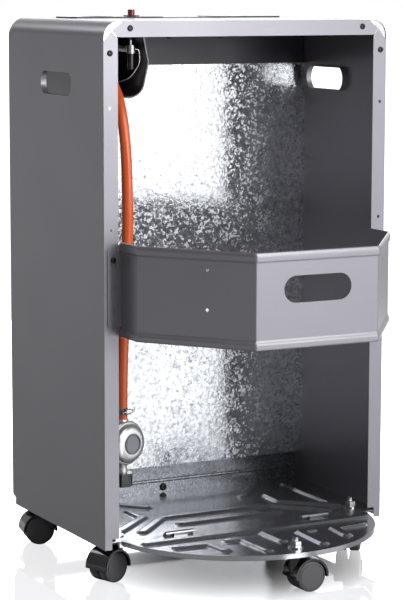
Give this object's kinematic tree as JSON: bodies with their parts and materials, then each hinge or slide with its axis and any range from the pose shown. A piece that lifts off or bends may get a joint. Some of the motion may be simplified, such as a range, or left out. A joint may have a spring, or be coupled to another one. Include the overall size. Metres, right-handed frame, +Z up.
{
  "type": "portable gas cabinet heater",
  "caption": "Portable gas cabinet heater on swivel casters, open at the rear, with bottle guard band, fold-down base extension, hose and regulator.",
  "frame": {"origin": "on the floor, at the middle of the object's bounding box", "axes": "+Z up, +Y towards the open rear where the bottle goes in, -Y towards the burner, +X to the left when seen from the rear"},
  "size_m": [0.444, 0.5, 0.7385],
  "materials": {
    "grey_powder_coat": "smooth metallic grey powder coat",
    "galvanised_steel": "spangled zinc-coated sheet",
    "plated_steel": "bright zinc plating",
    "chromed_wire": "bright chromed wire",
    "black_steel": "black oxide, satin",
    "burner_ceramic": "matt porous ceramic",
    "white_ceramic": "glazed ceramic",
    "brass": "turned brass",
    "valve_alloy": "die-cast, satin",
    "black_gloss_plastic": "glossy moulded",
    "black_plastic": "satin moulded",
    "grained_plastic": "fine-grained moulded",
    "red_plastic": "glossy moulded",
    "orange_rubber": "smooth, semi-gloss",
    "regulator_alloy": "silver lacquered die-casting",
    "grey_plastic": "satin moulded"
  },
  "bodies": {
    "cabinet": {"cabinet_shell": "grey_powder_coat", "corner_brackets": "plated_steel", "panel_screws": "black_steel", "front_panel": "grey_powder_coat", "burner_guard": "chromed_wire", "burner_reflector": "galvanised_steel", "burner_housings": "galvanised_steel", "ceramic_plaques": "burner_ceramic", "injector_manifold": "plated_steel", "injectors": "brass", "burner_supply_tube": "valve_alloy", "pilot_burner": "plated_steel", "spark_electrode": "white_ceramic", "thermocouple": "brass", "gas_valve": "valve_alloy", "magnet_unit": "black_steel", "piezo_igniter": "black_plastic", "control_trim": "black_plastic", "valve_housing": "black_steel", "hose_tail": "brass", "gas_hose": "orange_rubber", "hose_clamps": "plated_steel", "regulator_body": "regulator_alloy", "regulator_cap": "grey_plastic", "heat_shield": "galvanised_steel", "upper_panels": "black_steel", "lower_partition": "galvanised_steel", "base_plate": "grey_powder_coat", "hinge_pins": "plated_steel", "band_hook_screws": "black_steel", "caster_stems": "plated_steel", "caster_nuts": "plated_steel"},
    "spindle": {"valve_spindle": "brass"},
    "knob": {"control_knob": "black_plastic"},
    "igniter_button": {"igniter_button": "red_plastic"},
    "union_nut": {"union_nut": "black_plastic"},
    "extension": {"base_extension": "grey_powder_coat", "extension_caster_stem": "plated_steel", "extension_caster_nut": "plated_steel"},
    "band": {"bottle_band": "grey_powder_coat"},
    "caster_rear_left": {"caster_hood_rear_left": "black_gloss_plastic", "caster_axle_rear_left": "plated_steel"},
    "wheel_a_rear_left": {"wheel_a_rear_left": "grained_plastic"},
    "wheel_b_rear_left": {"wheel_b_rear_left": "grained_plastic"},
    "caster_rear_right": {"caster_hood_rear_right": "black_gloss_plastic", "caster_axle_rear_right": "plated_steel"},
    "wheel_a_rear_right": {"wheel_a_rear_right": "grained_plastic"},
    "wheel_b_rear_right": {"wheel_b_rear_right": "grained_plastic"},
    "caster_front_left": {"caster_hood_front_left": "black_gloss_plastic", "caster_axle_front_left": "plated_steel"},
    "wheel_a_front_left": {"wheel_a_front_left": "grained_plastic"},
    "wheel_b_front_left": {"wheel_b_front_left": "grained_plastic"},
    "caster_front_right": {"caster_hood_front_right": "black_gloss_plastic", "caster_axle_front_right": "plated_steel"},
    "wheel_a_front_right": {"wheel_a_front_right": "grained_plastic"},
    "wheel_b_front_right": {"wheel_b_front_right": "grained_plastic"},
    "caster_extension": {"caster_hood_extension": "black_gloss_plastic", "caster_axle_extension": "plated_steel"},
    "wheel_a_extension": {"wheel_a_extension": "grained_plastic"},
    "wheel_b_extension": {"wheel_b_extension": "grained_plastic"}
  },
  "joints": [
    {"name": "knob_push", "type": "slide", "parent": "cabinet", "child": "spindle", "axis": [0, 0, -1], "range_m": [0, 0.004], "stiffness_N_per_m": 800, "springref_m": -0.004},
    {"name": "knob_turn", "type": "hinge", "parent": "spindle", "child": "knob", "pos_m": [0.1, -0.182, 0.72], "axis": [0, 0, 1], "range_deg": [0, 210]},
    {"name": "igniter_press", "type": "slide", "parent": "cabinet", "child": "igniter_button", "axis": [0, 0, -1], "range_m": [0, 0.006], "stiffness_N_per_m": 600, "springref_m": -0.004},
    {"name": "union_nut_turn", "type": "hinge", "parent": "cabinet", "child": "union_nut", "pos_m": [0.1273, -0.0515, 0.11], "axis": [0, 0, 1], "continuous": true},
    {"name": "extension_fold", "type": "hinge", "parent": "cabinet", "child": "extension", "pos_m": [0, 0.07, 0.0604], "axis": [1, 0, 0], "range_deg": [0, 90]},
    {"name": "band_lift", "type": "slide", "parent": "cabinet", "child": "band", "axis": [0, 0, 1], "range_m": [0, 0.0075]},
    {"name": "swivel_rear_left", "type": "hinge", "parent": "cabinet", "child": "caster_rear_left", "pos_m": [0.1792, 0.038, 0.045], "axis": [0, 0, 1], "continuous": true},
    {"name": "spin_a_rear_left", "type": "hinge", "parent": "caster_rear_left", "child": "wheel_a_rear_left", "pos_m": [0.19326, 0.04323, 0.0205], "axis": [-0.3486, 0.9373, 0], "continuous": true},
    {"name": "spin_b_rear_left", "type": "hinge", "parent": "caster_rear_left", "child": "wheel_b_rear_left", "pos_m": [0.19326, 0.04323, 0.0205], "axis": [-0.3486, 0.9373, 0], "continuous": true},
    {"name": "swivel_rear_right", "type": "hinge", "parent": "cabinet", "child": "caster_rear_right", "pos_m": [-0.1792, 0.038, 0.045], "axis": [0, 0, 1], "continuous": true},
    {"name": "spin_a_rear_right", "type": "hinge", "parent": "caster_rear_right", "child": "wheel_a_rear_right", "pos_m": [-0.17017, 0.04998, 0.0205], "axis": [-0.7986, 0.6018, 0], "continuous": true},
    {"name": "spin_b_rear_right", "type": "hinge", "parent": "caster_rear_right", "child": "wheel_b_rear_right", "pos_m": [-0.17017, 0.04998, 0.0205], "axis": [-0.7986, 0.6018, 0], "continuous": true},
    {"name": "swivel_front_left", "type": "hinge", "parent": "cabinet", "child": "caster_front_left", "pos_m": [0.1792, -0.182, 0.045], "axis": [0, 0, 1], "continuous": true},
    {"name": "spin_a_front_left", "type": "hinge", "parent": "caster_front_left", "child": "wheel_a_front_left", "pos_m": [0.1939, -0.18499, 0.0205], "axis": [0.1994, 0.9799, 0], "continuous": true},
    {"name": "spin_b_front_left", "type": "hinge", "parent": "caster_front_left", "child": "wheel_b_front_left", "pos_m": [0.1939, -0.18499, 0.0205], "axis": [0.1994, 0.9799, 0], "continuous": true},
    {"name": "swivel_front_right", "type": "hinge", "parent": "cabinet", "child": "caster_front_right", "pos_m": [-0.1792, -0.182, 0.045], "axis": [0, 0, 1], "continuous": true},
    {"name": "spin_a_front_right", "type": "hinge", "parent": "caster_front_right", "child": "wheel_a_front_right", "pos_m": [-0.19326, -0.17677, 0.0205], "axis": [-0.3486, -0.9373, 0], "continuous": true},
    {"name": "spin_b_front_right", "type": "hinge", "parent": "caster_front_right", "child": "wheel_b_front_right", "pos_m": [-0.19326, -0.17677, 0.0205], "axis": [-0.3486, -0.9373, 0], "continuous": true},
    {"name": "swivel_extension", "type": "hinge", "parent": "extension", "child": "caster_extension", "pos_m": [0, 0.198, 0.045], "axis": [0, 0, 1], "continuous": true},
    {"name": "spin_a_extension", "type": "hinge", "parent": "caster_extension", "child": "wheel_a_extension", "pos_m": [-0.015, 0.198, 0.0205], "axis": [0, -1, 0], "continuous": true},
    {"name": "spin_b_extension", "type": "hinge", "parent": "caster_extension", "child": "wheel_b_extension", "pos_m": [-0.015, 0.198, 0.0205], "axis": [0, -1, 0], "continuous": true}
  ]
}
